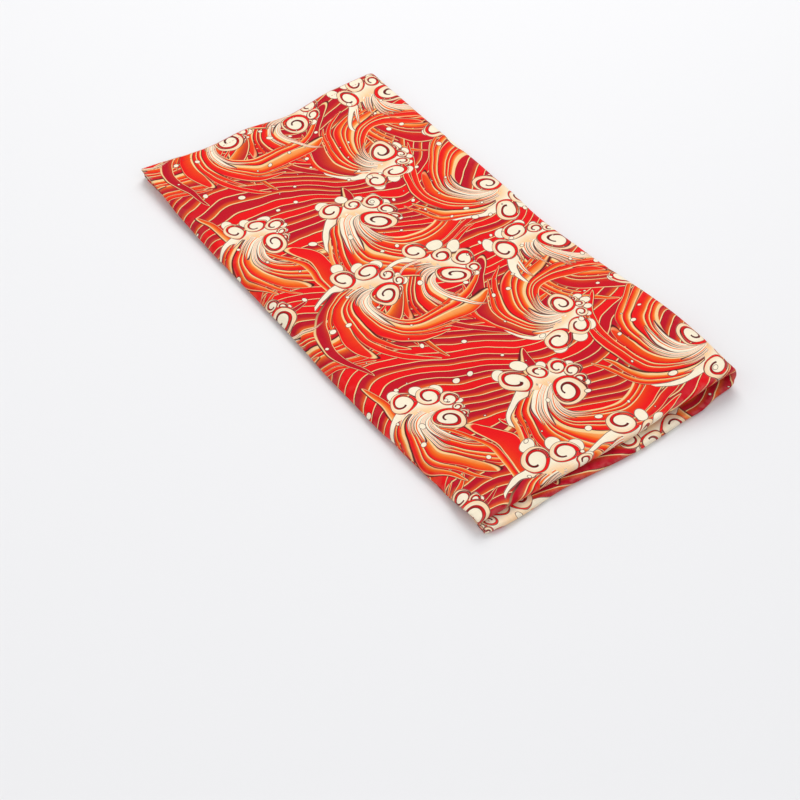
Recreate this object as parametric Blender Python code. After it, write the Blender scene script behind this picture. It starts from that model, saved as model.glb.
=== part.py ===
"""A furoshiki, the square cotton wrapping cloth, folded in half three times and laid flat.

The cloth is one sheet. The first fold and the third run along the length (X), and the second runs across
it (Y), so eight layers lie on each other. The second fold makes the end at +X, the third fold makes the
long side at +Y, the first fold ends in the long side at -Y, and the hems show at the end at -X.

Everything is in metres, with the origin under the middle of the folded cloth.
"""

import math
from collections import namedtuple

import bmesh
import bpy

# The cloth
SIDE = 0.900  # the finished square, hems included
THICKNESS = 0.0010
LAYER_GAP = 0.0005  # air between layers that lie on each other
PITCH = THICKNESS + LAYER_GAP
LAYERS = 8

# Each fold bends round the layers that the folds before it made
FIRST_RADIUS = PITCH / 2
SECOND_RADIUS = PITCH
THIRD_RADIUS = 2 * PITCH
QUARTER = math.pi / 2

# Along the cloth: the flat width once it is doubled, and the flat length to the second fold
DOUBLED_WIDTH = SIDE / 2 - QUARTER * FIRST_RADIUS + FIRST_RADIUS
LENGTH = SIDE / 2 - QUARTER * SECOND_RADIUS

# The third fold springs open towards the +X end, into a loop that is widest at the corner
LOOP_RADIUS = 0.0075
LOOP_FROM = 0.185  # from the +X end, where the loop begins to open
LOOP_FULL = 0.060  # from the +X end, where it is at its widest
LOOP_SETTLE = 0.100  # away from the fold, until the upper half lies down again

# On the side across from the third fold the upper half reaches past the lower half's hems, and its edge
# hangs down over them, bent round a line that lies under it
HANG_RADIUS = 0.0062
HANG_CENTRE = 0.0025
HANG_ANGLE = math.radians(58)

# The stack is a little fuller in the middle than where it was pressed
SWELL = 0.0012
SWELL_EDGE = 0.070
RIPPLE = 0.0004
RIPPLE_LENGTH = 0.170
RIPPLE_SLANT = 0.6

# How far inside the cloth an uneven edge is felt
EDGE_FADE = 0.070
HEM_FADE = 0.110

# Where the edges leave a straight line. along runs from 0 to 1, and shift is in metres.
Shift = namedtuple("Shift", "along shift")

# How far the upper half reaches past the lower half's hems. along runs from the hem end to the other.
OVERHANG = (
    Shift(0.00, 0.0010),
    Shift(0.24, 0.0090),
    Shift(0.91, 0.0090),
    Shift(1.00, 0.0012),
)

# The hem end is drawn in, twice. along runs from the -Y side to the +Y side, and shift is towards +X.
HEM_END = (
    Shift(0.00, 0.0020),
    Shift(0.28, 0.0094),
    Shift(0.44, 0.0062),
    Shift(0.61, 0.0112),
    Shift(0.84, 0.0028),
    Shift(1.00, 0.0010),
)

# At the other end the lower half sticks out from under the upper half. along runs from -Y to +Y.
LOWER_FOLD = (
    Shift(0.00, 0.0052),
    Shift(0.09, 0.0076),
    Shift(0.31, 0.0050),
    Shift(0.58, 0.0082),
    Shift(0.86, 0.0055),
    Shift(0.97, 0.0014),
    Shift(1.00, 0.0008),
)

# The long folded side sags in past its middle. along runs from the hem end to the other, and shift is
# towards +Y.
LONG_FOLD = (
    Shift(0.00, 0.0010),
    Shift(0.17, 0.0000),
    Shift(0.41, 0.0000),
    Shift(0.52, -0.0024),
    Shift(0.63, 0.0000),
    Shift(0.90, 0.0008),
    Shift(1.00, -0.0026),
)

# The hanging side bellies out a little. along and shift are as for the folded side.
HANGING_SIDE = (
    Shift(0.00, 0.0000),
    Shift(0.45, 0.0000),
    Shift(0.62, -0.0018),
    Shift(0.80, -0.0014),
    Shift(0.92, 0.0006),
    Shift(1.00, -0.0010),
)

# Rows and columns of the sheet
FIRST_FOLD_STEPS = 4
SECOND_FOLD_STEPS = 6
THIRD_FOLD_STEPS = 6
HANG_STEPS = 4
WIDTH_STEPS = 10
LENGTH_STEPS = 16

COTTON_RED = (0.62, 0.02, 0.015, 1.0)
COTTON_ROUGHNESS = 0.8

# Where a column of the flat cloth is, counted from the folds. turn is the angle round the first fold.
# reach goes from 1 to -1 round the third fold, out to 2 at the lower half's hems, out to -2 above those
# hems, and on to -3 at the end of the overhang.
Column = namedtuple("Column", "turn reach")


def eased(share):
    share = min(max(share, 0.0), 1.0)
    return share * share * (3 - 2 * share)


def shift_at(table, along):
    """The shift at a place between two rows of a table, with no corner at the rows."""
    along = min(max(along, table[0].along), table[-1].along)
    for low, high in zip(table, table[1:]):
        if along <= high.along:
            share = eased((along - low.along) / (high.along - low.along))
            return low.shift + (high.shift - low.shift) * share
    return table[-1].shift


def steps(first, last, count):
    """count even steps from first to last, both ends included."""
    return [first + (last - first) * i / count for i in range(count + 1)]


def columns():
    """Every column of the flat cloth, from one hemmed side through the first fold to the other."""
    reaches = (
        steps(2, 1, WIDTH_STEPS)
        + steps(1, -1, THIRD_FOLD_STEPS)[1:]
        + steps(-1, -2, WIDTH_STEPS)[1:]
        + steps(-2, -3, HANG_STEPS)[1:]
    )
    below = [Column(-QUARTER, reach) for reach in reaches]
    round_first = [
        Column(turn, -3.0) for turn in steps(-QUARTER, QUARTER, FIRST_FOLD_STEPS)[1:-1]
    ]
    above = [Column(QUARTER, reach) for reach in reversed(reaches)]
    return below + round_first + above


def rows():
    """Every row of the flat cloth: -1 to 1 round the second fold, and out to -2 and 2 at the hems."""
    return (
        steps(-2, -1, LENGTH_STEPS)
        + steps(-1, 1, SECOND_FOLD_STEPS)[1:]
        + steps(1, 2, LENGTH_STEPS)[1:]
    )


def bent(place, radius, panel):
    """(how far out, how high) a strip lies that bends round a fold and runs on straight past it."""
    turn = min(max(place, -1.0), 1.0) * QUARTER
    straight = max(abs(place) - 1.0, 0.0) * panel
    return radius * math.cos(turn) - straight, radius * math.sin(turn)


def loop_radius(x):
    """How wide the third fold stands open, at a place along it."""
    opened = eased((x + LOOP_FROM) / (LOOP_FROM - LOOP_FULL))
    return THIRD_RADIUS + (LOOP_RADIUS - THIRD_RADIUS) * opened


def folded(column, row):
    """A point of the cloth's middle surface once the cloth is folded, before its edges wander."""
    # In the first fold the cloth is doubled
    offset = FIRST_RADIUS * math.sin(column.turn)
    nearer = FIRST_RADIUS * math.cos(column.turn)
    # In the second fold the doubled cloth makes four layers, and the inner ones reach further
    second = SECOND_RADIUS + offset
    x, height = bent(row, second, SIDE / 2 - QUARTER * second)
    # In the third fold the four make eight, with the first fold's side on top
    radius = loop_radius(x)
    beyond = shift_at(OVERHANG, 1 + x / LENGTH)
    panel = (DOUBLED_WIDTH - beyond) / 2 - QUARTER * THIRD_RADIUS
    y, rise = bent(-max(column.reach, -2.0), radius + height, panel)
    lowest = radius + SECOND_RADIUS + FIRST_RADIUS  # how far under the third fold's line the cloth lies
    z = THICKNESS / 2 + lowest + rise
    if column.reach < -1:
        z -= 2 * (radius - THIRD_RADIUS) * eased(-y / LOOP_SETTLE)
    if column.reach < -2:
        y, z = hung(beyond * (-column.reach - 2) + nearer, y, z)
    return x, y, z


def hung(beyond, y, z):
    """(y, z) of a point of the overhang, bent down past the lower half's hems."""
    turn = min(beyond / HANG_RADIUS, HANG_ANGLE)
    straight = beyond - HANG_RADIUS * turn
    radius = z - HANG_CENTRE
    return (
        y - radius * math.sin(turn) - straight * math.cos(turn),
        HANG_CENTRE + radius * math.cos(turn) - straight * math.sin(turn),
    )


def uneven(x, y, z):
    """Moves a point of the neatly folded cloth to where it lies in the real one."""
    width = DOUBLED_WIDTH / 2
    along = 1 + x / LENGTH
    across = 1 + y / width
    top = LAYERS * PITCH
    inside = eased(min(x + LENGTH, -x, y + width, -y) / SWELL_EDGE)
    ripple = math.sin((x + RIPPLE_SLANT * y) / RIPPLE_LENGTH * 2 * math.pi)
    lifted = (z - THICKNESS / 2) / top * inside * (SWELL + RIPPLE * ripple)
    under = eased((top / 2 - z) / PITCH + 0.5)
    near_hems = eased(1 - (x + LENGTH) / HEM_FADE)
    near_second = eased(1 + x / EDGE_FADE)
    near_third = eased(1 + y / EDGE_FADE)
    near_hanging = eased(1 - (y + width) / EDGE_FADE)
    return (
        x
        + near_hems * shift_at(HEM_END, across)
        + near_second * under * shift_at(LOWER_FOLD, across),
        y
        + near_third * shift_at(LONG_FOLD, along)
        + near_hanging * shift_at(HANGING_SIDE, along),
        z + lifted,
    )


def centred(places):
    """The same points, with the middle of their box over the origin."""
    middles = [
        (min(p[axis] for p in places) + max(p[axis] for p in places)) / 2
        for axis in (0, 1)
    ]
    return [(x - middles[0], y - middles[1], z) for x, y, z in places]


def cotton():
    material = bpy.data.materials.new("printed_cotton")
    material.use_nodes = True
    shader = material.node_tree.nodes["Principled BSDF"]
    shader.inputs["Base Color"].default_value = COTTON_RED
    shader.inputs["Roughness"].default_value = COTTON_ROUGHNESS
    shader.inputs["Metallic"].default_value = 0.0
    return material


def folded_cloth():
    """The whole cloth: a flat grid whose points are moved to their folded places, then made thick."""
    across, along = columns(), rows()
    sheet = bmesh.new()
    bmesh.ops.create_grid(
        sheet, x_segments=len(across) - 1, y_segments=len(along) - 1, size=1
    )
    corners = list(sheet.verts)
    places = []
    for corner in corners:
        column = across[round((corner.co.x + 1) / 2 * (len(across) - 1))]
        row = along[round((corner.co.y + 1) / 2 * (len(along) - 1))]
        places.append(uneven(*folded(column, row)))
    for corner, place in zip(corners, centred(places)):
        corner.co = place
    mesh = bpy.data.meshes.new("folded_cloth")
    sheet.to_mesh(mesh)
    sheet.free()
    cloth = bpy.data.objects.new("folded_cloth", mesh)
    bpy.context.scene.collection.objects.link(cloth)
    thick = cloth.modifiers.new("thickness", "SOLIDIFY")
    thick.thickness = THICKNESS
    thick.offset = 0.0
    thick.use_even_offset = True
    mesh.materials.append(cotton())
    mesh.shade_smooth()
    return cloth


def main():
    for old in list(bpy.data.objects):
        bpy.data.objects.remove(old)
    folded_cloth()


main()
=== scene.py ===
# %% [markdown]
# # A furoshiki, folded flat
# A furoshiki is a square cotton cloth for wrapping and carrying things. This one is printed all over with
# a rough sea, folded in half three times and laid flat. The solid model of it is loaded first. It stays
# the measure of everything: the cloth that is made here has the same folds, with a thinner sheet, real
# hems and softer, less regular layers.

# %% Load the solid model
import math
from collections import namedtuple

import bmesh
import bpy
import numpy as np
from mathutils import Matrix, Vector, noise


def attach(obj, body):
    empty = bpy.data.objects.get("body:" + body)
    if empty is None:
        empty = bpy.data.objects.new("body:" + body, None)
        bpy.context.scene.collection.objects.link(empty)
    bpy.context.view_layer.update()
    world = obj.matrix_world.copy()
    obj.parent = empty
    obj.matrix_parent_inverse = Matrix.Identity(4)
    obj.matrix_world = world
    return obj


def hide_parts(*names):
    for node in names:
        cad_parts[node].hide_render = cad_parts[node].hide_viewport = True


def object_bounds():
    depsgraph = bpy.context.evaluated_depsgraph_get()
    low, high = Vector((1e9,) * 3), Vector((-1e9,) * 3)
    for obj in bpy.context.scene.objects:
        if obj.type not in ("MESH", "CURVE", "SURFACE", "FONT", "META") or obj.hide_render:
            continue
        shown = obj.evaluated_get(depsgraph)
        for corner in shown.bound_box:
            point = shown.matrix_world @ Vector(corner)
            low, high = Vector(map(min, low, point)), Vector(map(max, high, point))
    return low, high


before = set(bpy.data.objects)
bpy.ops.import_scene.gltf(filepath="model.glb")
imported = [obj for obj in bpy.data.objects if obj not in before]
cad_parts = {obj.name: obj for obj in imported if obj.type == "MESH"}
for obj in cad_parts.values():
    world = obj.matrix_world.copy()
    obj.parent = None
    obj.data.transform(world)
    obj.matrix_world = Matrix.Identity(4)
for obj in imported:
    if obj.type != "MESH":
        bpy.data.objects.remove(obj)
solid_low, solid_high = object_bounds()
print("The solid cloth measures", [round(1000 * side, 1) for side in solid_high - solid_low], "mm")

# %% [markdown]
# ## The folds
# Folding a real square three times gives three kinds of bend. The first fold bends one layer, the second
# bends two and the third bends four, so each is rounder than the one before. A cloth like this could be
# dropped and folded by a simulation, but that is slow and never lands twice in the same place. Here each
# point of the flat cloth is sent to its folded place by a formula, as a machine would fold it, and the
# unevenness is added afterwards. Everything is in metres.

# %% The size of the cloth and of its folds
SIDE = 0.900  # the finished square, hems included
SOLID_THICKNESS = 0.0010
PITCH = 0.0015  # from layer to layer
LAYERS = 8
FIRST_RADIUS = PITCH / 2
SECOND_RADIUS = PITCH
THIRD_RADIUS = 2 * PITCH
QUARTER, TURN = math.pi / 2, 2 * math.pi
DOUBLED_WIDTH = SIDE / 2 - QUARTER * FIRST_RADIUS + FIRST_RADIUS
LENGTH = SIDE / 2 - QUARTER * SECOND_RADIUS
LOOP_RADIUS = 0.0075  # where the third fold springs open, at the +X corner
LOOP_FROM, LOOP_FULL, LOOP_SETTLE = 0.185, 0.060, 0.100
HANG_RADIUS, HANG_CENTRE, HANG_ANGLE = 0.0062, 0.0025, math.radians(58)
print(f"Folded, the cloth is about {1000 * LENGTH:.0f} by {500 * DOUBLED_WIDTH:.0f} mm")

# %% [markdown]
# A person folds by eye, so no edge of the pile is straight. Each table below says how far an edge leaves
# its straight line, at places from 0 to 1 along it. Between two rows the edge follows a smooth curve.

# %% How the edges wander
Shift = namedtuple("Shift", "along shift")
OVERHANG = (Shift(0.00, 0.0010), Shift(0.24, 0.0090), Shift(0.91, 0.0090), Shift(1.00, 0.0012))
HEM_END = (
    Shift(0.00, 0.0020),
    Shift(0.28, 0.0094),
    Shift(0.44, 0.0062),
    Shift(0.61, 0.0112),
    Shift(0.84, 0.0028),
    Shift(1.00, 0.0010),
)
LOWER_FOLD = (
    Shift(0.00, 0.0052),
    Shift(0.09, 0.0076),
    Shift(0.31, 0.0050),
    Shift(0.58, 0.0082),
    Shift(0.86, 0.0055),
    Shift(0.97, 0.0014),
    Shift(1.00, 0.0008),
)
LONG_FOLD = (
    Shift(0.00, 0.0010),
    Shift(0.17, 0.0000),
    Shift(0.41, 0.0000),
    Shift(0.52, -0.0024),
    Shift(0.63, 0.0000),
    Shift(0.90, 0.0008),
    Shift(1.00, -0.0026),
)
HANGING_SIDE = (
    Shift(0.00, 0.0000),
    Shift(0.45, 0.0000),
    Shift(0.62, -0.0018),
    Shift(0.80, -0.0014),
    Shift(0.92, 0.0006),
    Shift(1.00, -0.0010),
)
# Where the pairs of layers in the overhang shift apart, as a share of the two shifts below
PEEP = (
    Shift(0.00, 0.0),
    Shift(0.76, 0.0),
    Shift(0.83, 1.0),
    Shift(0.88, 0.2),
    Shift(0.92, 0.8),
    Shift(0.96, 0.0),
)
OUTER_PEEP, INNER_PEEP = -0.0022, 0.0012
EDGE_FADE, HEM_FADE = 0.070, 0.110  # how far inside the cloth an uneven edge is felt


def eased(share):
    share = min(max(share, 0.0), 1.0)
    return share * share * (3 - 2 * share)


def shift_at(table, along):
    """The shift at a place between two rows of a table, with no corner at the rows."""
    along = min(max(along, table[0].along), table[-1].along)
    for low, high in zip(table, table[1:]):
        if along <= high.along:
            share = eased((along - low.along) / (high.along - low.along))
            return low.shift + (high.shift - low.shift) * share
    return table[-1].shift


print("The hem end is drawn in by up to", 1000 * max(row.shift for row in HEM_END), "mm")

# %% [markdown]
# The grid of the cloth has its lines close together where it bends and at its hems, and wide apart where
# it lies flat. That keeps the mesh light without making the folds angular. A column is told by its turn
# round the first fold and by its reach across the pile, a row by its place along it.

# %% The lines of the grid
Column = namedtuple("Column", "turn reach")
HEM = 0.0060  # the width of the hem
HEM_LINES = (0.0, 0.0007, 0.0032, 0.0055, 0.0063, 0.0090)  # from the cloth's edge
FIRST_FOLD_STEPS, SECOND_FOLD_STEPS, THIRD_FOLD_STEPS, HANG_STEPS = 8, 12, 14, 6
WIDTH_STEPS, LENGTH_STEPS = 38, 78
widest_overhang = max(row.shift for row in OVERHANG)
PANEL_WIDTH = (DOUBLED_WIDTH - widest_overhang) / 2 - QUARTER * THIRD_RADIUS


def steps(first, last, count):
    return [first + (last - first) * i / count for i in range(count + 1)]


def from_hem(panel, count):
    """Places from 2 at the hem to 1 at the fold, with the hem's own lines first."""
    hem = [2 - line / panel for line in HEM_LINES]
    return hem + steps(hem[-1], 1, count)[1:]


reaches = from_hem(PANEL_WIDTH, WIDTH_STEPS)
reaches += steps(1, -1, THIRD_FOLD_STEPS)[1:]
reaches += steps(-1, -2, WIDTH_STEPS)[1:]
reaches += steps(-2, -3, HANG_STEPS)[1:]
columns = [Column(-QUARTER, reach) for reach in reaches]
columns += [Column(turn, -3.0) for turn in steps(-QUARTER, QUARTER, FIRST_FOLD_STEPS)[1:-1]]
columns += [Column(QUARTER, reach) for reach in reversed(reaches)]
rows = [-row for row in from_hem(LENGTH, LENGTH_STEPS)]
rows += steps(-1, 1, SECOND_FOLD_STEPS)[1:-1]
rows += from_hem(LENGTH, LENGTH_STEPS)[::-1]
print(len(columns), "columns and", len(rows), "rows")

# %% [markdown]
# The next functions fold one point. The first fold turns it over a small radius, the second lays the
# doubled cloth over itself, and the third brings the long side round. The upper half reaches past the
# hems of the lower half on one side and hangs down over them.

# %% Fold a point


def bent(place, radius, panel):
    """(how far out, how high) a strip lies that bends round a fold and runs on straight past it."""
    turn = min(max(place, -1.0), 1.0) * QUARTER
    straight = max(abs(place) - 1.0, 0.0) * panel
    return radius * math.cos(turn) - straight, radius * math.sin(turn)


def loop_radius(x):
    """How wide the third fold stands open, at a place along it."""
    opened = eased((x + LOOP_FROM) / (LOOP_FROM - LOOP_FULL))
    return THIRD_RADIUS + (LOOP_RADIUS - THIRD_RADIUS) * opened


def hung(beyond, y, z):
    """(y, z) of a point of the overhang, bent down past the lower half's hems."""
    turn = min(beyond / HANG_RADIUS, HANG_ANGLE)
    straight = beyond - HANG_RADIUS * turn
    radius = z - HANG_CENTRE
    down = HANG_CENTRE + radius * math.cos(turn) - straight * math.sin(turn)
    return y - radius * math.sin(turn) - straight * math.cos(turn), down


def folded(column, row):
    """A point of the cloth once it is folded neatly, before its edges wander."""
    offset = FIRST_RADIUS * math.sin(column.turn)
    nearer = FIRST_RADIUS * math.cos(column.turn)
    second = SECOND_RADIUS + offset
    x, height = bent(row, second, SIDE / 2 - QUARTER * second)
    radius = loop_radius(x)
    beyond = shift_at(OVERHANG, 1 + x / LENGTH)
    panel = (DOUBLED_WIDTH - beyond) / 2 - QUARTER * THIRD_RADIUS
    y, rise = bent(-max(column.reach, -2.0), radius + height, panel)
    lowest = radius + SECOND_RADIUS + FIRST_RADIUS
    z = SOLID_THICKNESS / 2 + lowest + rise
    if column.reach < -1:
        z -= 2 * (radius - THIRD_RADIUS) * eased(-y / LOOP_SETTLE)
    if column.reach < -2:
        beyond += shift_at(PEEP, 1 + x / LENGTH) * (INNER_PEEP if row < 0 else OUTER_PEEP)
        y, z = hung(beyond * (-column.reach - 2) + nearer, y, z)
    return x, y, z


corner = folded(Column(QUARTER, -2.0), 2.0)
print("The top panel's far corner is folded to", [round(1000 * place) for place in corner], "mm")

# %% [markdown]
# Cloth that has been handled is fuller in the middle than at its pressed edges, and keeps soft troughs
# where it was bent before. They are given as lines with a depth and a width. A trough sinks all layers
# under it in proportion, so that no layer cuts another. A little smooth noise keeps the layers from being
# copies of each other.

# %% Make the pile uneven
SWELL, SWELL_EDGE = 0.0012, 0.070
RIPPLE, RIPPLE_LENGTH, RIPPLE_SLANT = 0.0004, 0.170, 0.6
Trough = namedtuple("Trough", "x1 y1 x2 y2 depth width")
TROUGHS = (
    Trough(-0.020, -0.060, -0.105, -0.026, 0.0009, 0.010),
    Trough(-0.012, -0.140, -0.070, -0.178, 0.0008, 0.009),
    Trough(-0.190, -0.030, -0.310, -0.058, 0.0006, 0.014),
    Trough(-0.150, -0.205, -0.262, -0.172, -0.0006, 0.012),
    Trough(-0.330, -0.190, -0.420, -0.120, 0.0007, 0.012),
    Trough(-0.360, -0.030, -0.430, -0.075, -0.0005, 0.010),
)
UNDULATION, UNDULATION_LENGTH = 0.0007, 0.045  # of the whole pile, up and down
SLACK, SLACK_LENGTH, SLACK_HEIGHT = 0.00045, 0.034, 0.004  # how far a layer strays up or down
FIRM = 8  # how soon slack is felt above the lowest layer, which lies on the floor
FRAY, FRAY_LENGTH, FRAY_LAYERS = 0.0005, 0.026, 6  # how far a layer's edge leaves its smooth line


def trough_depth(x, y):
    depth = 0.0
    for t in TROUGHS:
        ex, ey = t.x2 - t.x1, t.y2 - t.y1
        share = ((x - t.x1) * ex + (y - t.y1) * ey) / (ex * ex + ey * ey)
        near = min(max(share, 0.0), 1.0)
        off = math.hypot(x - t.x1 - near * ex, y - t.y1 - near * ey) / t.width
        depth += t.depth * math.exp(-off * off)
    return depth


def wander(place, size, seed):
    """Smooth noise about 0 with features of a size, for a place in metres."""
    return noise.noise(Vector((place[0] / size, place[1] / size, seed)))


def uneven(x, y, z):
    width = DOUBLED_WIDTH / 2
    along, across = 1 + x / LENGTH, 1 + y / width
    top = LAYERS * PITCH
    # The pile is fuller in the middle, and all that lifts it is shared out over its layers
    share = (z - SOLID_THICKNESS / 2) / top
    inside = eased(min(x + LENGTH, -x, y + width, -y) / SWELL_EDGE)
    ripple = math.sin((x + RIPPLE_SLANT * y) / RIPPLE_LENGTH * TURN)
    lifted = share * inside * (SWELL + RIPPLE * ripple)
    lifted += share * UNDULATION * wander((x, y), UNDULATION_LENGTH, 7.3) - share * trough_depth(x, y)
    lifted += SLACK * wander((x, y), SLACK_LENGTH, z / SLACK_HEIGHT) * min(FIRM * share, 1.0)
    # Each edge is felt near it alone, and the lower half's fold only in the lower half
    under = eased((top / 2 - z) / PITCH + 0.5)
    near_hems = eased(1 - (x + LENGTH) / HEM_FADE)
    near_second = eased(1 + x / EDGE_FADE)
    near_third = eased(1 + y / EDGE_FADE)
    near_hanging = eased(1 - (y + width) / EDGE_FADE)
    fray = [wander((place, FRAY_LAYERS * z), FRAY_LENGTH, seed) for place, seed in ((y, 11.0), (x, 17.0))]
    x += near_hems * shift_at(HEM_END, across) + near_second * under * shift_at(LOWER_FOLD, across)
    x += FRAY * fray[0] * (near_hems + near_second)
    y += near_third * shift_at(LONG_FOLD, along) + near_hanging * shift_at(HANGING_SIDE, along)
    y += FRAY * fray[1] * (near_third + near_hanging)
    return x, y, z + lifted


print(len(TROUGHS), "troughs, up to", 1000 * max(t.depth for t in TROUGHS), "mm deep")

# %% [markdown]
# ## The sheet
# Now every crossing of the grid is folded. The folded places are kept in an array, because they are
# measured next: how far a crossing is along its row and its column, as a share of the whole walk from
# edge to edge, gives its place on the flat square. The print is drawn by those places, so it bends with
# the cloth and is hardly stretched.

# %% Fold the whole grid and measure it
places = np.array([[uneven(*folded(column, row)) for column in columns] for row in rows])
middle = (places.reshape(-1, 3).min(0) + places.reshape(-1, 3).max(0)) / 2
solid_middle = (solid_low + solid_high) / 2
places[:, :, 0] += solid_middle.x - middle[0]
places[:, :, 1] += solid_middle.y - middle[1]


def walked(points, axis):
    """How far along its line of the grid each point is on the flat cloth, and the lines' lengths."""
    paces = np.linalg.norm(np.diff(points, axis=axis), axis=2)
    so_far = np.insert(np.cumsum(paces, axis=axis), 0, 0.0, axis=axis)
    whole = so_far.max(axis=axis, keepdims=True)
    return so_far / whole * SIDE, whole


flat_u, widths = walked(places, 1)
flat_v, lengths = walked(places, 0)
normals = np.cross(np.gradient(places, axis=1), np.gradient(places, axis=0))
normals /= np.linalg.norm(normals, axis=2, keepdims=True)
# The normals point out of the printed face, which is up in the middle of the top layer
top_column, top_row = len(columns) * 3 // 5, len(rows) * 3 // 4
if normals[top_row, top_column, 2] < 0:
    normals = -normals
for name, found in (("width", widths), ("length", lengths)):
    print(f"Flat {name} {found.min():.3f} to {found.max():.3f} m")

# %% [markdown]
# The mesh starts as a flat grid, which an operator turns into a slab with a front, a back and a rim.
# While it is flat it is easy to say which face is which, so the materials and the two texture maps are
# given now. One map holds the place on the flat cloth. The other lays front and back side by side, for
# baking.

# %% Build the sheet as a slab
SHEET = 0.0006  # thickness of the cloth
HEM_THICKNESS = 0.00088
PRINTED, REVERSE = 0, 1
HALF, BORDER = 0.47, 0.015
slab = bmesh.new()
bmesh.ops.create_grid(slab, x_segments=len(columns) - 1, y_segments=len(rows) - 1, size=0.5)
bmesh.ops.solidify(slab, geom=slab.faces[:], thickness=1.0)
flat_map = slab.loops.layers.uv.new("cloth_flat")
bake_map = slab.loops.layers.uv.new("OFBake")
heights = [vert.co.z for vert in slab.verts]
mid_height = (min(heights) + max(heights)) / 2
front = slab.verts.layers.int.new("front")
for vert in slab.verts:
    vert[front] = int(vert.co.z > mid_height)


def crossing(vert):
    """The row and column of the grid that a corner of the slab stands on."""
    column = round((vert.co.x + 0.5) * (len(columns) - 1))
    row = round((vert.co.y + 0.5) * (len(rows) - 1))
    return row, column


slab.normal_update()
for face in slab.faces:
    rim = abs(face.normal.z) < 0.5
    back = not rim and face.normal.z < 0
    face.material_index = REVERSE if back else PRINTED
    face.smooth = True
    for loop in face.loops:
        row, column = crossing(loop.vert)
        loop[flat_map].uv = (flat_u[row, column], flat_v[row, column])
        share = Vector((loop.vert.co.x + 0.5, loop.vert.co.y + 0.5))
        if rim and not loop.vert[front]:
            share += Vector((face.normal.x / HALF, face.normal.y)) * BORDER / 2
        start = Vector((0.5 + BORDER if back else BORDER, BORDER))
        loop[bake_map].uv = start + Vector((share.x * HALF, share.y * (1 - 2 * BORDER)))
print(len(slab.faces), "faces, all closed:", all(edge.is_manifold for edge in slab.edges))

# %% [markdown]
# The slab is folded by moving every corner to its crossing's folded place, half a thickness out along the
# sheet's normal. At the hems, where the cloth is turned in, the sheet is thicker, and the pile rises
# there a little, on its own hems and stitches.

# %% Fold the slab and give it its thickness
HEM_STEP = 0.0005  # how wide the step from the hem to the single cloth is
HEM_RISE, RISE_FADE = 0.00028, 0.020
DROP = 0.00015  # the sheet is thinner than the solid's, so its middle lies lower
from_edge = np.minimum(np.minimum(flat_u, SIDE - flat_u), np.minimum(flat_v, SIDE - flat_v))
hem_share = np.clip((HEM - from_edge) / HEM_STEP, 0, 1)
thickness = SHEET + (HEM_THICKNESS - SHEET) * hem_share
near_hem = np.clip(1 - (from_edge - HEM) / RISE_FADE, 0, 1)
places[:, :, 2] += HEM_RISE * near_hem * near_hem * (3 - 2 * near_hem) - DROP
crossings = [crossing(vert) for vert in slab.verts]
for vert, place in zip(slab.verts, crossings):
    side = 0.5 if vert[front] else -0.5
    vert.co = Vector(places[place] + side * thickness[place] * normals[place])


def mesh_of(made, name):
    """The mesh of a bmesh that is finished."""
    mesh = bpy.data.meshes.new(name)
    made.to_mesh(mesh)
    made.free()
    return mesh


def new_object(name, data):
    """An object in the scene that shows a mesh, camera or light."""
    made = bpy.data.objects.new(name, data)
    bpy.context.scene.collection.objects.link(made)
    return made


def triangles(mesh):
    return sum(len(polygon.vertices) - 2 for polygon in mesh.polygons)


sheet_mesh = mesh_of(slab, "cloth")
cloth = new_object("printed_cloth", sheet_mesh)
print("The sheet has", triangles(sheet_mesh), "triangles")

# %% [markdown]
# A fold that has been pressed loses some dye along its crest, and stays a little shinier. The crest is
# also painted paler as a highlight, where its rounded edge catches the light. The cloth keeps both as a
# number on each corner of the mesh, 1 on a crest and 0 away from it, which the finishes read later. It is
# taken from how far the sheet turns from one grid line to the next but one, so loops that are bent more
# sharply are paler.

# %% Mark the crests, for faded dye and painted highlight
FULL_WEAR_AND_HIGHLIGHT = 420.0  # the bend, in radians a metre, at which a crest is palest, with faded dye and painted highlight


def bend(axis):
    """How sharply the sheet bends along a grid line, in radians a metre, a little smoothed."""
    turned = np.linalg.norm(np.gradient(normals, axis=axis), axis=2)
    moved = np.linalg.norm(np.gradient(places, axis=axis), axis=2)
    sharp = turned / np.maximum(moved, 1e-5)
    for _ in range(2):
        near = np.roll(sharp, 1, axis), np.roll(sharp, -1, axis)
        sharp = (2 * sharp + near[0] + near[1]) / 4
    return sharp


wear_and_highlight = np.clip(np.maximum(bend(0), bend(1)) / FULL_WEAR_AND_HIGHLIGHT, 0, 1)
worn_and_highlit = sheet_mesh.attributes.new("wear_and_highlight", "FLOAT", "POINT")
worn_and_highlit.data.foreach_set("value", [wear_and_highlight[place] for place in crossings])
print(f"Mean wear {wear_and_highlight.mean():.2f}, on the sharpest crest {wear_and_highlight.max():.2f}")

# %% [markdown]
# ### The stitching of the hems
# The edge of the cloth is turned in and sewn down by machine, with one row of stitches just inside the
# hem. Each stitch is a short piece of thread that dips into the cloth at both ends. A ball with few
# faces, drawn out to a stitch's length, is enough for that, because there are thousands of them.

# %% One stitch
STITCH, STITCH_GAP, THREAD = 0.0024, 0.0007, 0.00022
ball = bmesh.new()
bmesh.ops.create_uvsphere(ball, u_segments=6, v_segments=4, radius=1.0)
bmesh.ops.scale(ball, vec=(STITCH / 2, THREAD, THREAD), verts=ball.verts[:])
for face in ball.faces:
    face.smooth = True
one_stitch = mesh_of(ball, "one stitch")
print("One stitch has", len(one_stitch.polygons), "faces")

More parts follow.
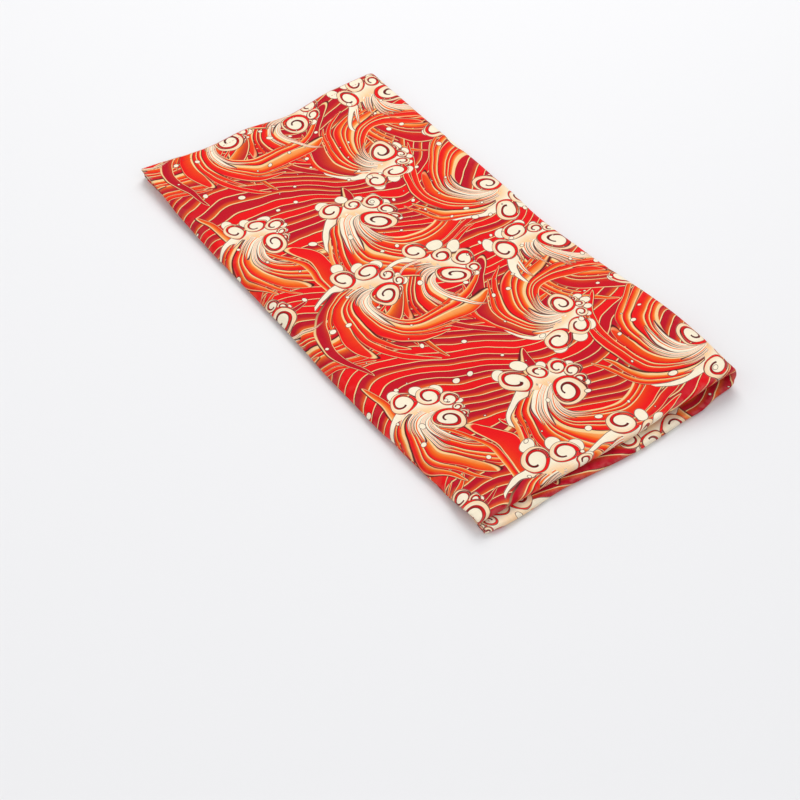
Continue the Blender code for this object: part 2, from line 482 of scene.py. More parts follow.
# %% [markdown]
# The stitches are placed by walking along the sheet's own grid line at the hem, so they follow every
# fold. Where a stitch goes is found between two corners of the line. A matrix made of the direction of
# the seam, the direction across it and the sheet's normal turns the stitch, and a copy of it is stamped
# into one mesh. The reverse gets its own stitches, half a step on, as the lower thread of a sewing
# machine does.

# %% Sew the hems
SEAM_LINE = 3  # the grid line that the stitches follow, counted from the edge
SHOWN = -0.3  # how far the thread's middle is above the cloth, in radii
stitching = bmesh.new()


def along_seam(values, gone, there):
    """Values kept for the corners of a grid line, at a distance along the line."""
    return Vector([np.interp(there, gone, values[:, axis]) for axis in range(3)])


def sew(line, side):
    """Stitches along a grid line, on the printed face where side is 1 and the reverse where it is -1."""
    points, outward = places[line], normals[line] * side
    surface = points + outward * (thickness[line][:, None] / 2 + SHOWN * THREAD)
    gone = np.insert(np.cumsum(np.linalg.norm(np.diff(points, axis=0), axis=1)), 0, 0.0)
    step = STITCH + STITCH_GAP
    first = HEM + (step / 2 if side < 0 else 0.0)
    for start in np.arange(first, gone[-1] - HEM - STITCH, step):
        ends = along_seam(surface, gone, start), along_seam(surface, gone, start + STITCH)
        along = (ends[1] - ends[0]).normalized()
        across = along_seam(outward, gone, start + STITCH / 2).cross(along).normalized()
        turn = Matrix((along, across, along.cross(across))).transposed().to_4x4()
        stitch = one_stitch.copy()
        stitch.transform(Matrix.Translation((ends[0] + ends[1]) / 2) @ turn)
        stitching.from_mesh(stitch)
        bpy.data.meshes.remove(stitch)


for side in (1, -1):
    for line in (SEAM_LINE, -1 - SEAM_LINE):
        sew((line, slice(None)), side)
        sew((slice(None), line), side)
stitch_mesh = mesh_of(stitching, "stitches")
stitches = new_object("hem_stitches", stitch_mesh)
print("The stitches have", triangles(stitch_mesh), "triangles")

# %% [markdown]
# ## The finishes
# The print is worked out for each point of the cloth from its place on the flat square. That takes
# formulas, and a formula typed as nodes is hard to read. So this small class lets plain Python arithmetic
# make the nodes: every sum or product of Values adds one Math node to the tree that the Values come from.

# %% Numbers that come out of nodes


class Value:
    """A number or colour that comes out of a node."""

    def __init__(self, socket):
        self.socket = socket
        self.tree = socket.node.id_data


def places_node(operation, comes_second):
    """What Python calls for a Value in a sum or product. The Value may stand second in it."""

    def method(value, other):
        return calc(operation, other, value) if comes_second else calc(operation, value, other)

    return method


ARITHMETIC = {"add": "ADD", "sub": "SUBTRACT", "mul": "MULTIPLY", "truediv": "DIVIDE"}
for name, operation in ARITHMETIC.items():
    setattr(Value, f"__{name}__", places_node(operation, comes_second=False))
    setattr(Value, f"__r{name}__", places_node(operation, comes_second=True))
print("A Value can be used to", ", ".join(ARITHMETIC.values()).lower())

# %% [markdown]
# One function places every such node, sets what it does and plugs in its numbers. The Math node has all
# the usual operations. Most shapes end in a soft edge, for which a Map Range node set to Smooth Step is
# best, since it eases in and out and needs no second node to stay between 0 and 1. A Mix node lays one
# colour over another.

# %% Nodes from formulas
EDGE = 0.15  # half the softness of a printed edge, in millimetres


def plug(socket, value):
    """Links a Value to a socket, or sets the socket to a plain number or colour."""
    if isinstance(value, Value):
        value.tree.links.new(value.socket, socket)
    elif isinstance(value, tuple):
        socket.default_value = (*value, 1.0) if len(socket.default_value) == 4 else value
    else:
        socket.default_value = value


def placed(kind, inputs, output=0, **settings):
    """What comes out of a new node. It stands in the tree of the Values among its inputs."""
    tree = next(value.tree for value in inputs.values() if isinstance(value, Value))
    node = tree.nodes.new(f"ShaderNode{kind}")
    for name, setting in settings.items():
        setattr(node, name, setting)
    for socket, value in inputs.items():
        plug(node.inputs[socket], value)
    return Value(node.outputs[output])


def calc(operation, *values):
    return placed("Math", dict(enumerate(values)), operation=operation)


def clamped(value):
    return calc("MAXIMUM", calc("MINIMUM", value, 1.0), 0.0)


def ramp(low, high, value):
    """0 where value is at low or past it, 1 at high or past it, with an eased curve between."""
    inputs = {0: value, 1: low, 2: high}
    return placed("MapRange", inputs, interpolation_type="SMOOTHSTEP", clamp=False)


def inside(distance):
    """1 where a distance in millimetres is below 0, with a soft edge."""
    return ramp(EDGE, -EDGE, distance)


def blend(factor, under, over):
    """The colour under where factor is 0, and the colour over where it is 1."""
    return placed("Mix", {0: factor, 6: under, 7: over}, 2, data_type="RGBA")


print("A printed edge is", 2 * EDGE, "mm soft")

# %% [markdown]
# What is used more than once is made a node group, with named sockets. Both faces of the cloth use the
# print, and the print uses one and the same wave eight times, with other numbers.

# %% Node groups


def new_group(name, inputs, outputs):
    """A node group with float, vector or colour sockets, as (group, input Values, output node)."""
    tree = bpy.data.node_groups.new(name, "ShaderNodeTree")
    for in_out, sockets in (("INPUT", inputs), ("OUTPUT", outputs)):
        for socket, kind in sockets.items():
            tree.interface.new_socket(socket, in_out=in_out, socket_type=f"NodeSocket{kind}")
    given = tree.nodes.new("NodeGroupInput")
    made = tree.nodes.new("NodeGroupOutput")
    return tree, [Value(given.outputs[socket]) for socket in inputs], made


def use_group(tree, group, values):
    """Places a group in a tree, with its inputs given by name, and returns its outputs as Values."""
    node = tree.nodes.new("ShaderNodeGroup")
    node.node_tree = group
    for name, value in values.items():
        plug(node.inputs[name], value)
    return [Value(socket) for socket in node.outputs]


print("Groups so far:", len(bpy.data.node_groups))

# %% [markdown]
# ### The print
# Cloths of this kind often carry a rough sea: waves whose strands of water wind up into a curl, with foam
# round it. A painter would draw each line. Here a wave is worked out from a logarithmic spiral, because
# its strands grow wider and wider without changing their shape, as water does. Sizes in the print are in
# millimetres on the flat cloth.

# %% The colours of the print and its chances
CRIMSON = (0.50, 0.004, 0.018)
RED = (0.82, 0.006, 0.008)
ORANGE = (0.88, 0.15, 0.008)
APRICOT = (0.94, 0.48, 0.15)
LINE = (0.93, 0.62, 0.28)
CREAM = (0.94, 0.83, 0.62)
MAROON = (0.10, 0.008, 0.010)


def chance(index, seed):
    """A number from 0 to 1 that looks random, for a whole number and a seed."""
    return calc("FRACT", calc("SINE", index * 12.99 + seed * 4.37) * 437.58)


def length(x, y):
    return calc("SQRT", x * x + y * y)


print("The print has", len((CRIMSON, RED, ORANGE, APRICOT, LINE, CREAM, MAROON)), "inks")

# %% [markdown]
# Each point near a wave is first told how it lies in that wave: how far from the head, how far across the
# sheaf of strands, in which strand, and how far out past the sheaf's back and along it. The last two are
# shares of the distance from the head. So a circle drawn in them grows as it moves away from the head.

# %% Where a point lies in a wave
WINDING = 0.55  # how fast a strand leaves the head
SLANT = math.atan(WINDING)
SWEEP = 0.46  # the sheaf's width, in turns
STRANDS = 10
HEAD = 11.0  # the radius of the head
UNEVEN_STRANDS, UNEVEN_RATE = 0.28, 2.4  # how far the border of a strand strays, in strands
NEAREST = 0.5  # closer to the middle of the head a wave has no strands
Spot = namedtuple("Spot", "r angle across strand share width out along seed")


def spot_in_wave(u, v, turn, size, hand, seed):
    """Where a point lies in a wave, for its place from the wave's head in millimetres."""
    turned = calc("RADIANS", turn)
    c, s = calc("COSINE", turned), calc("SINE", turned)
    x = (u * c + v * s) * hand / size
    y = (v * c - u * s) / size
    r = length(x, y)
    angle = calc("ARCTAN2", y, x) / TURN
    growth = calc("LOGARITHM", calc("MAXIMUM", r, NEAREST) / HEAD, math.e)
    spiral = calc("FRACT", growth / (TURN * WINDING) - angle)
    across = spiral / SWEEP
    wavy = across * STRANDS
    phase = seed * 5.0
    wavy = wavy + UNEVEN_STRANDS * calc("SINE", wavy * UNEVEN_RATE + phase)
    wavy = wavy - UNEVEN_STRANDS * calc("SINE", phase)
    out = (spiral - SWEEP) * (TURN * math.sin(SLANT))
    along = growth / math.sin(SLANT) - (spiral - SWEEP) * (TURN * math.cos(SLANT))
    width = r * (TURN * math.sin(SLANT) * SWEEP / STRANDS)
    strand, share = calc("FLOOR", wavy), calc("FRACT", wavy)
    return Spot(r, angle, across, strand, share, width, out, along, seed)


print(f"A strand is {50 * TURN * math.sin(SLANT) * SWEEP / STRANDS:.1f} mm wide 50 mm from the head")

# %% [markdown]
# A shape is given as a distance: below 0 inside it, above 0 outside. Shapes join where the smaller
# distance is taken, and an outline is the shape itself, drawn a little larger in a dark colour before the
# shape.

# %% Strands
FAR = 50.0  # a distance that counts as outside, whatever is near


def outside(kept):
    """Far away, as a distance, where kept is 0, and nothing where it is 1."""
    return (1.0 - kept) * FAR


def strand_shape(spot, end, taper, power):
    """Strands that end at a distance from the head, in a point: (distance, distance from their middle)."""
    left = clamped((end - spot.r) / taper)
    half = spot.width * 0.5 * calc("POWER", left, power)
    kept = calc("LESS_THAN", spot.across, 1.0) * calc("LESS_THAN", spot.r, end)
    off_middle = calc("ABSOLUTE", spot.share - 0.5) * spot.width
    return off_middle - half + outside(kept), off_middle


print("What is outside a shape is", FAR, "mm off")

# %% [markdown]
# Foam breaks into curls. They stand in two rows along the back of the sheaf, large ones on a band of foam
# and small ones beyond. Each row is told by a few numbers, most of them shares of the distance from the
# head. A curl is a disc with a spiral groove: a line whose distance from the middle grows with its angle.
# Where the groove reaches the rim it is cut through, so that the curl has a mouth.

# %% Curls
Groove = namedtuple("Groove", "eye pitch winds width")
Curls = namedtuple("Curls", "gap out spread size grows largest from_r to_along")
HEAD_GROOVE = Groove(0.24, 0.50, 1.8, 0.20)
CURL_GROOVE = Groove(0.34, 0.62, 1.5, 0.27)
LARGE_CURLS = Curls(0.62, 0.04, 0.18, 0.26, 0.09, 9.6, 11.0, 2.48)
SMALL_CURLS = Curls(0.40, 0.28, 0.18, 0.10, 0.09, 4.8, 12.0, 2.40)
MOUTH = 0.72  # the share of a curl's radius from which its groove is cut through
INNER_WIDTH = 0.35  # the groove's width at its inner end, as a share of its full width
INNER_END = 0.02  # where a groove starts, in turns wound
CURL_TURN, CURL_TURN_LOT = 0.15, 0.3  # how a curl is turned, in turns


def curl_groove(radius, turns, groove):
    """The spiral groove of a curl. All are shares of its radius, and turns is its angle in turns."""
    winding = (radius - groove.eye) / groove.pitch
    off = winding - turns
    off = off - calc("ROUND", off)
    wound = winding - off
    width = groove.width * (INNER_WIDTH + (1 - INNER_WIDTH) * ramp(0.0, 1.0, wound))
    kept = calc("GREATER_THAN", wound, INNER_END) * calc("LESS_THAN", wound, groove.winds)
    return calc("ABSOLUTE", off) * groove.pitch - width / 2 + outside(kept)


def curls_shape(spot, curls):
    """A row of discs along the back of the sheaf: (distance, share of the radius, angle, radius)."""
    place = spot.along / curls.gap
    lot = chance(calc("FLOOR", place) + 100.0 * curls.gap, spot.seed)
    along = (calc("FRACT", place) - 0.5) * curls.gap
    out = spot.out - curls.out - curls.spread * lot
    radius = calc("MINIMUM", curls.size + curls.grows * lot, curls.largest / calc("MAXIMUM", spot.r, 1.0))
    share = length(along, out) / radius
    angle = calc("ARCTAN2", out, along) / TURN + CURL_TURN + CURL_TURN_LOT * lot
    kept = calc("GREATER_THAN", spot.r, curls.from_r) * calc("LESS_THAN", spot.along, curls.to_along)
    millimetres = radius * spot.r
    return (share - 1.0) * millimetres + outside(kept), share, angle, millimetres


def with_mouth(disc, groove, share, radius):
    """A disc that is cut through along its groove, near its rim."""
    return calc("MAXIMUM", disc, calc("MINIMUM", groove * -1.0, (share - MOUTH) * radius))


print("The largest curls are", 2 * LARGE_CURLS.largest, "mm wide")

# %% [markdown]
# The band of foam that carries the curls is thickest near the head and runs out in a tail. Its inner side
# is scalloped, by a sine along it.

# %% The band of foam
BAND_END, BAND_FULL = 50.0, 14.0  # from the head
BAND_DEPTH, BAND_OUT = 8.5, 1.8
SCALLOP, SCALLOPS = 1.2, 17.0


def band_shape(spot):
    """The band: between a scalloped line inside the sheaf's back and a smooth one outside it."""
    deep = (SCALLOP * calc("SINE", spot.along * SCALLOPS) - BAND_DEPTH) * ramp(BAND_END, BAND_FULL, spot.r)
    off = spot.out * spot.r
    return calc("MAXIMUM", off - BAND_OUT, deep - off) + outside(calc("LESS_THAN", spot.r, BAND_END))


print("The foam reaches", BAND_END, "mm down a wave's back")

# %% [markdown]
# Now the shapes get their inks. Each strand of water has a bright line on one side, then orange, red and
# a thin dark line. Near the foam the water glows, further off it is plain red. Curls are cream with a
# dark outline.

# %% The inks of water and curls
LINE_WIDTH, LINE_GAIN, LINE_MOST = 0.6, 0.9, 0.24  # far out, added near the head, and of a strand
DARK_WIDTH, DARK_MOST = 0.42, 0.10
LINE_GROWS, GLOW_GROWS = (60.0, 20.0), (70.0, 25.0)  # where they begin and end, from the head
GLOW_ACROSS = (0.8, 0.05)  # of a strand
GLOWING, CRIMSON_ONES = (0.3, 0.7), (0.75, 0.9)  # the lots that make a strand glow or be crimson
GLOW_GAIN, APRICOT_FROM = 1.5, 0.85
TIPS, TIP_LINE = (40.0, 60.0), 0.5
CURL_RIM, GROOVE_RIM = 0.4, 0.3
RIM_SHADE, RIM_SHADING, HOLLOW_SHADE = (0.45, 1.0), 0.5, (0.80, 0.35)


def strand_colours(spot, lots, shape):
    """The water, each strand with its lines and shades, and all in a dark outline."""
    edge = spot.share * spot.width
    line = calc("MINIMUM", LINE_WIDTH + LINE_GAIN * ramp(*LINE_GROWS, spot.r), LINE_MOST * spot.width)
    dark = calc("MINIMUM", DARK_MOST * spot.width, DARK_WIDTH)
    lit = calc("MINIMUM", ramp(*GLOWING, lots[0]) + 0.5 * ramp(*GLOW_GROWS, spot.r), 1.0)
    glow = ramp(*GLOW_ACROSS, spot.share) * lit * GLOW_GAIN
    body = blend(ramp(*CRIMSON_ONES, lots[1]), RED, CRIMSON)
    body = blend(glow, body, ORANGE)
    body = blend(glow - APRICOT_FROM, body, APRICOT)
    body = blend(inside(edge - line), body, LINE)
    body = blend(inside(spot.width - edge - dark), body, MAROON)
    body = blend(inside(shape * -1.0 - TIP_LINE) * ramp(*TIPS, spot.r), body, LINE)
    return blend(inside(shape), MAROON, body)


def curl_colours(foam, shape, groove, share):
    """A cream disc with a dark outline and a red spiral groove, darkest at its inner end."""
    disc = inside(shape)
    hollow = blend(ramp(*HOLLOW_SHADE, share), RED, MAROON)
    foam = blend(inside(shape - CURL_RIM), foam, MAROON)
    foam = blend(disc, foam, CREAM)
    foam = blend(ramp(*RIM_SHADE, share) * disc * RIM_SHADING, foam, APRICOT)
    foam = blend(inside(groove - GROOVE_RIM) * disc, foam, MAROON)
    return blend(inside(groove) * disc, foam, hollow)


print("The lines on the water are up to", LINE_WIDTH + LINE_GAIN, "mm wide")

# %% [markdown]
# One wave is put together in a group. It needs the point's place from the head, and the wave's turn,
# size, hand and seed, and it gives its water and its foam, each as a colour and a mask.

# %% One wave
STRAND_ENDS = (50.0, 86.0)  # the nearest and the furthest that strands end, from the head
STRAND_TAPER, FINGER_TAPER = 22.0, 14.0  # how long their points are
STRAND_POINT, FINGER_POINT = 0.5, 0.6  # how blunt the points are, where 1 is straight
FINGER_END, FINGER_LOT, FINGER_ACROSS = 20.0, 22.0, 12.0
FINGER_STRIPE, FINGER_LINE = 0.09, 0.05  # as shares of a strand
BAND_SHADE, BAND_SHADING = (-1.0, -9.0), 0.7
HEAD_TURN = 0.05
OUTLINE = 0.45


def wave_group():
    """The group: its water with the strands' inks, then its foam from the back to the front."""
    inputs = dict.fromkeys(("U", "V", "Turn", "Size", "Hand", "Seed"), "Float")
    outputs = {"Body": "Color", "Body mask": "Float", "Foam": "Color", "Foam mask": "Float"}
    group, given, made = new_group("one wave", inputs, outputs)
    spot = spot_in_wave(*given)
    lots = chance(spot.strand, spot.seed), chance(spot.strand + 31.0, spot.seed)
    strand_end = STRAND_ENDS[0] + (STRAND_ENDS[1] - STRAND_ENDS[0]) * lots[1]
    strands = strand_shape(spot, strand_end, STRAND_TAPER, STRAND_POINT)[0]
    body = strand_colours(spot, lots, strands)
    body_mask = inside(strands - OUTLINE)

    finger_end = FINGER_END + FINGER_LOT * lots[0] * lots[1] + FINGER_ACROSS * spot.across * spot.across
    fingers, off_middle = strand_shape(spot, finger_end, FINGER_TAPER, FINGER_POINT)
    band = band_shape(spot)
    curls, share, angle, radius = curls_shape(spot, LARGE_CURLS)
    groove = curl_groove(share, angle, CURL_GROOVE) * radius
    drops = curls_shape(spot, SMALL_CURLS)[0]
    head = spot.r - HEAD
    head_groove = curl_groove(spot.r / HEAD, HEAD_TURN - spot.angle, HEAD_GROOVE) * HEAD
    foam_shape = fingers
    open_curls = with_mouth(curls, groove, share, radius)
    open_head = with_mouth(head, head_groove, spot.r / HEAD, HEAD)
    for shape in (band, open_curls, drops, open_head):
        foam_shape = calc("MINIMUM", foam_shape, shape)

    on_finger = inside(fingers)
    foam = blend(inside(off_middle - FINGER_STRIPE * spot.width) * on_finger, CREAM, ORANGE)
    foam = blend(inside((spot.share - FINGER_LINE) * spot.width) * on_finger, foam, MAROON)
    foam = blend(inside(calc("MINIMUM", band, drops)), foam, CREAM)
    foam = blend(inside(band) * ramp(*BAND_SHADE, spot.out * spot.r) * BAND_SHADING, foam, APRICOT)
    foam = curl_colours(foam, curls, groove, share)
    foam = curl_colours(foam, head, head_groove, spot.r / HEAD)
    foam = blend(inside(foam_shape), MAROON, foam)
    for name, value in zip(outputs, (body, body_mask, foam, inside(foam_shape - OUTLINE))):
        plug(made.inputs[name], value)
    return group


one_wave = wave_group()
print("One wave takes", len(one_wave.nodes), "nodes")

# %% [markdown]
# A printed cloth repeats its pattern. Here a tile with eight waves repeats across the cloth, and each
# column of tiles is set half a tile lower than the one before, so the eye doesn't find rows. The waves'
# places, turns and hands are listed.

# %% Where the waves are
Wave = namedtuple("Wave", "u v turn size hand seed")
TILE_U, TILE_V = 270.0, 230.0
WAVES = (
    Wave(40.0, 196.0, 160.0, 1.05, 1.0, 1.0),
    Wave(128.0, 178.0, 215.0, 1.15, 1.0, 2.0),
    Wave(222.0, 190.0, 185.0, 1.00, 1.0, 3.0),
    Wave(80.0, 118.0, 345.0, 1.00, -1.0, 4.0),
    Wave(178.0, 112.0, 240.0, 1.15, 1.0, 5.0),
    Wave(255.0, 92.0, 170.0, 1.05, 1.0, 6.0),
    Wave(30.0, 50.0, 195.0, 1.10, 1.0, 7.0),
    Wave(125.0, 36.0, 15.0, 1.05, -1.0, 8.0),
)
print(f"{len(WAVES) * SIDE * SIDE * 1e6 / (TILE_U * TILE_V):.0f} waves on the whole cloth")

# %% [markdown]
# Between the waves lies open sea, long stripes with a swell in them, and drops of spray are sprinkled
# over all. A brush never draws a perfect line, so every place is shifted a little by soft noise before it
# is used.

# %% Open sea and spray
Wobble = namedtuple("Wobble", "size shift")
WOBBLES = (Wobble(40.0, 11.0), Wobble(13.0, 1.2))
SEA_LINES = 8.0  # from line to line of the open sea
SEA_SWELL, SEA_CHOP, CHOP_SLANT = 22.0, 7.0, 45.0
CRIMSON_STRIPES, ORANGE_STRIPES = (0.3, 0.6), (0.5, 0.8)  # the lots that make a stripe crimson or orange
STRIPE_GLOW, STRIPE_GLOWING = (0.6, 0.0), 0.8
SEA_LINE, SEA_DARK = 0.8, 0.4
DOTS = 13.0  # from drop to drop of the spray
LARGEST_DROP, DROP_GROWS, DROP_FROM, DROP_RIM = 2.4, (0.72, 1.0), 0.78, 0.4
DROP_MARGIN, DROP_STRAY = 0.3, 0.4  # where a drop may lie in its cell, as shares


def two_parts(vector):
    """The first two numbers of a vector or colour."""
    node = vector.tree.nodes.new("ShaderNodeSeparateXYZ")
    plug(node.inputs[0], vector)
    return Value(node.outputs[0]), Value(node.outputs[1])


def cloud(place, scale, detail, output="Fac"):
    """Smooth noise from 0 to 1, one number, or several where output is Color."""
    inputs = {"Vector": place, "Scale": scale, "Detail": detail}
    return placed("TexNoise", inputs, output, noise_dimensions="2D")


def wobbled(place):
    """(u, v) of a place in millimetres, shifted a little so that no drawn line is perfect."""
    u, v = two_parts(place)
    for size, shift in WOBBLES:
        drift = two_parts(cloud(place, 1 / size, 0.0, "Color"))
        u = u + (drift[0] - 0.5) * shift
        v = v + (drift[1] - 0.5) * shift
    return u, v


def open_sea(u, v):
    """Stripes that swell and chop, and fit together from tile to tile."""
    flow = v + SEA_SWELL * calc("SINE", u * (TURN / TILE_U))
    flow = flow + SEA_CHOP * calc("SINE", u * (2 * TURN / TILE_U) + v / CHOP_SLANT)
    line = flow / SEA_LINES
    lot = chance(calc("FLOOR", line), 3.0)
    share = calc("FRACT", line)
    colour = blend(ramp(*CRIMSON_STRIPES, lot), RED, CRIMSON)
    glow = ramp(*STRIPE_GLOW, share) * ramp(*ORANGE_STRIPES, lot) * STRIPE_GLOWING
    colour = blend(glow, colour, ORANGE)
    colour = blend(inside(share * SEA_LINES - SEA_LINE), colour, LINE)
    return blend(inside((1.0 - share) * SEA_LINES - SEA_DARK), colour, MAROON)


def spray(u, v, colour):
    """Drops in the cells of a square net, in about one cell of five."""
    cell_u, cell_v = calc("FLOOR", u / DOTS), calc("FLOOR", v / DOTS)
    lot = chance(cell_u * 7.0 + cell_v * 3.0, 9.0)
    lot2 = chance(cell_u * 5.0 - cell_v * 11.0, 4.0)
    du = u - (cell_u + DROP_MARGIN + DROP_STRAY * lot2) * DOTS
    lot3 = calc("FRACT", lot2 * 17.0)
    dv = v - (cell_v + DROP_MARGIN + DROP_STRAY * lot3) * DOTS
    size = LARGEST_DROP * ramp(*DROP_GROWS, lot)
    drop = length(du, dv) - size + outside(calc("GREATER_THAN", lot, DROP_FROM))
    colour = blend(inside(drop - DROP_RIM), colour, MAROON)
    return blend(inside(drop), colour, CREAM)


print("A stripe of the sea is", SEA_LINES, "mm wide")

# %% [markdown]
# The whole print is one group. Each wave is laid over the sea, and the foam of all waves is kept apart
# and laid on last, so no wave's water covers another's foam.

# %% The whole print


def sea_print_group():
    group, (place,), made = new_group("sea print", {"Place": "Vector"}, {"Color": "Color"})
    u, v = wobbled(place)
    colour = open_sea(u, v)
    all_foam, foam_over = CREAM, 0.0
    for wave in WAVES:
        du = u - wave.u
        column = calc("ROUND", du / TILE_U)
        dv = v - wave.v - TILE_V / 2 * column
        given = {"U": du - TILE_U * column, "V": dv - TILE_V * calc("ROUND", dv / TILE_V)}
        given.update({"Turn": wave.turn, "Size": wave.size, "Hand": wave.hand, "Seed": wave.seed})
        body, body_mask, foam, foam_mask = use_group(group, one_wave, given)
        colour = blend(body_mask, colour, body)
        all_foam = blend(foam_mask, all_foam, foam)
        foam_over = calc("MAXIMUM", foam_over, foam_mask)
    colour = blend(foam_over, colour, all_foam)
    plug(made.inputs["Color"], spray(u, v, colour))
    return group


sea_print = sea_print_group()
print("The print takes", len(sea_print.nodes), "nodes besides its waves")

# %% [markdown]
# ### The weave
# Plain cotton is a net of threads that pass over and under each other. Two sines, one for each direction,
# multiplied, give a chequered pattern of small mounds, and each mound is a place where a thread lies on
# top. The threads are not all alike, so stretched noise makes some of them thicker and darker. Bump nodes
# tilt the light by the height, which costs no geometry.

# %% The weave
THREAD_PITCH = 0.42  # in millimetres
WARP_RATE, WEFT_RATE = (1.1, 0.03, 1.0), (0.03, 1.1, 1.0)  # how fast the threads vary, each millimetre
SLUB_HEIGHT = 0.8
SHADE, SLUB_SHADE, WARP_SHADE = 0.90, 0.16, 0.03
CROSSING = (-0.2, 0.2)  # the soft border between threads that lie on top and under


def stretched(vector, factors):
    """A vector or colour whose three numbers are multiplied by three others, or all by a Value."""
    return placed("VectorMath", {0: vector, 1: factors}, operation="MULTIPLY")


def weave_group():
    outputs = {"Height": "Float", "Shade": "Float"}
    group, (place,), made = new_group("plain weave", {"Place": "Vector"}, outputs)
    u, v = two_parts(place)
    mound = calc("SINE", u * (math.pi / THREAD_PITCH)) * calc("SINE", v * (math.pi / THREAD_PITCH))
    warp, weft = [cloud(stretched(place, rate), 1.0, 1.0) for rate in (WARP_RATE, WEFT_RATE)]
    on_top = ramp(*CROSSING, mound)
    slub = on_top * warp + (1.0 - on_top) * weft
    plug(made.inputs["Height"], calc("ABSOLUTE", mound) + SLUB_HEIGHT * slub)
    plug(made.inputs["Shade"], SHADE + SLUB_SHADE * slub + WARP_SHADE * on_top)
    return group


plain_weave = weave_group()
print("The weave takes", len(plain_weave.nodes), "nodes")

# %% [markdown]
# ### The cloth's two faces
# Ink is printed on one face and soaks through, so the reverse shows the same print, paler. On both faces
# the weave gives the fine bump, and soft noise gives the small dents of cloth that was packed. Cotton has
# a faint fuzz that catches light at a slant, which the shader's sheen stands for.

# %% The finishes of the cloth
MILLIMETRES = 1000.0
WEAVE_HEIGHT, DENT_HEIGHT = 0.00007, 0.00050  # in metres
FADING_AND_HIGHLIGHT = 0.10  # how much paler the palest crest is, with faded dye and painted highlight
CREST_PATCHES, DYE_CLOUDS, DENTS = 7.0, 60.0, 26.0  # sizes, in millimetres
PATCHY = (0.35, 0.65)
DYE_LEAST, DYE_RANGE = 0.95, 0.10
ROUGH, WEAR_SHINE, SHADE_SHINE = 0.84, 0.10, 0.05
COTTON = {
    "Specular IOR Level": 0.10,
    "Sheen Weight": 0.06,
    "Sheen Roughness": 0.4,
    "Sheen Tint": (1.0, 0.45, 0.35),
}


def finish(name, constants):
    """A new material and its shader, whose own sockets are set to what is the same all over."""
    material = bpy.data.materials.new(name)
    material.use_nodes = True
    shader = material.node_tree.nodes["Principled BSDF"]
    for socket, value in constants.items():
        plug(shader.inputs[socket], value)
    return material, shader


def flat_place(tree):
    """The place on the flat cloth, in millimetres."""
    uv = tree.nodes.new("ShaderNodeUVMap")
    uv.uv_map = "cloth_flat"
    return stretched(Value(uv.outputs[0]), (MILLIMETRES,) * 3)


def bumps(heights):
    """Bump nodes in a row, one for each (height Value, distance in metres), and the last one's normal."""
    inputs = {}
    for height, distance in heights:
        inputs.update({"Height": height, "Distance": distance})
        inputs["Normal"] = placed("Bump", inputs)
    return inputs["Normal"]


def cotton(name, soaked, pale_to):
    """A face of the cloth. soaked is how much of its colour is lost to the third colour."""
    material, shader = finish(name, COTTON)
    tree = material.node_tree
    place = flat_place(tree)
    colour = use_group(tree, sea_print, {"Place": place})[0]
    height, shade = use_group(tree, plain_weave, {"Place": place})
    attribute = tree.nodes.new("ShaderNodeAttribute")
    attribute.attribute_name = "wear_and_highlight"
    # Crests are paler here: partly faded dye, partly painted highlight
    wear_and_highlight = Value(attribute.outputs["Fac"]) * ramp(*PATCHY, cloud(place, 1 / CREST_PATCHES, 2.0))
    colour = blend(wear_and_highlight * FADING_AND_HIGHLIGHT + soaked, colour, pale_to)
    uneven_dye = DYE_LEAST + DYE_RANGE * cloud(place, 1 / DYE_CLOUDS, 2.0)
    plug(shader.inputs["Base Color"], stretched(colour, shade * uneven_dye))
    plug(shader.inputs["Roughness"], ROUGH - WEAR_SHINE * wear_and_highlight - SHADE_SHINE * shade)
    dents = cloud(place, 1 / DENTS, 2.0)
    plug(shader.inputs["Normal"], bumps(((dents, DENT_HEIGHT), (height, WEAVE_HEIGHT))))
    return material


# Each face's crests pale towards its colour here, with faded dye and painted highlight
FADED_AND_HIGHLIT, PALE = (0.93, 0.60, 0.50), (0.78, 0.40, 0.34)
SOAKED = 0.52  # how much of its colour the ink loses on its way through the cloth
sheet_mesh.materials.append(cotton("printed_cotton", 0.0, FADED_AND_HIGHLIT))
sheet_mesh.materials.append(cotton("cotton_reverse", SOAKED, PALE))
print("The cloth has", len(sheet_mesh.materials), "finishes")

# %% [markdown]
# The sewing thread is polyester, smoother than the cotton, and twisted. A wave texture that runs aslant
# gives the twist.

# %% The finish of the thread
THREAD_RED, THREAD_SHADOW = (0.66, 0.020, 0.018), (0.40, 0.006, 0.008)
TWIST_RATE, TWIST_HEIGHT = 900.0, 0.00004
thread, shader = finish("hem_thread", {"Roughness": 0.5})
coordinates = thread.node_tree.nodes.new("ShaderNodeTexCoord")
twist = {"Vector": Value(coordinates.outputs["Object"]), "Scale": TWIST_RATE}
ridge = placed("TexWave", twist, "Fac", bands_direction="DIAGONAL")
plug(shader.inputs["Base Color"], blend(ridge, THREAD_SHADOW, THREAD_RED))
plug(shader.inputs["Normal"], bumps(((ridge, TWIST_HEIGHT),)))
stitch_mesh.materials.append(thread)
print("The thread is", round(2 * THREAD * MILLIMETRES, 2), "mm thick")

# %% [markdown]
# The last step for the cloth sets its pieces on the body of the solid model that they ride on, and hides
# the solid cloth that they take the place of.

for piece in (cloth, stitches):
    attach(piece, "root")
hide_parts("folded_cloth")

# %% [markdown]
# ## The room
# The cloth lies on a plain pale floor, wide enough that its edge is never seen.

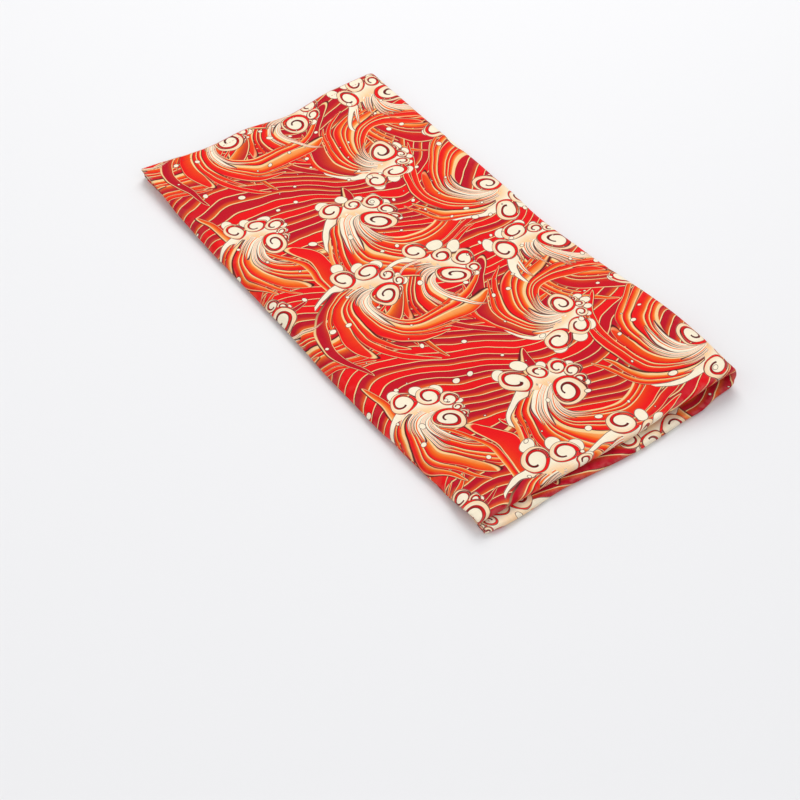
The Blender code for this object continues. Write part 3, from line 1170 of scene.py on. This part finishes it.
# %% The floor
FLOOR_SIZE = 6.0
FLOOR = {"Roughness": 0.7, "Base Color": (0.80, 0.79, 0.78)}
board = bmesh.new()
bmesh.ops.create_grid(board, x_segments=1, y_segments=1, size=FLOOR_SIZE / 2)
floor_mesh = mesh_of(board, "floor")
floor = new_object("floor", floor_mesh)
floor_mesh.materials.append(finish("floor", FLOOR)[0])
print("The floor is", FLOOR_SIZE, "m wide")

# %% [markdown]
# The camera looks down on the cloth from its -Y side, a little from its folded end. Its place and lens
# were found by moving it until the corners of the pile stood where the picture has them.

# %% The camera
CAMERA_PLACE = Vector((0.7447, -0.5506, 0.8373))
CAMERA_AZIMUTH, CAMERA_ELEVATION = math.radians(54.54), math.radians(46.38)
SENSOR, LENS = 36.0, 73.83  # in millimetres
camera_data = bpy.data.cameras.new("camera")
camera_data.sensor_width = SENSOR
camera_data.lens = LENS
camera = new_object("camera", camera_data)
camera.location = CAMERA_PLACE
camera.rotation_euler = (math.pi / 2 - CAMERA_ELEVATION, 0.0, CAMERA_AZIMUTH)
bpy.context.scene.camera = camera
print(f"The camera is {CAMERA_PLACE.length:.2f} m from the middle of the cloth")

# %% [markdown]
# The light is soft and comes from all sides, as in a light tent: one large lamp as a window, two weaker
# ones to fill the shadows, and a pale room round it. Blender's standard view keeps the inks as vivid as
# they are.

# %% The lights
Light = namedtuple("Light", "name place size watts")
LIGHTS = (
    Light("window", Vector((-1.1, 0.9, 1.8)), 1.6, 34),
    Light("fill", Vector((1.6, -0.4, 1.7)), 2.2, 17),
    Light("near", Vector((-0.4, -1.8, 1.2)), 1.8, 9),
)
for light in LIGHTS:
    data = bpy.data.lights.new(light.name, "AREA")
    data.size = light.size
    data.energy = light.watts
    lamp = new_object(light.name, data)
    lamp.location = light.place
    lamp.rotation_euler = (-light.place).to_track_quat("-Z", "Y").to_euler()
ROOM_COLOUR, ROOM_STRENGTH = (0.9, 0.93, 1.0), 0.48
world = bpy.data.worlds.new("room")
bpy.context.scene.world = world
world.use_nodes = True
background = world.node_tree.nodes["Background"]
plug(background.inputs["Color"], ROOM_COLOUR)
plug(background.inputs["Strength"], ROOM_STRENGTH)
bpy.context.scene.view_settings.view_transform = "Standard"
print(len(LIGHTS), "lights of", sum(light.watts for light in LIGHTS), "W")
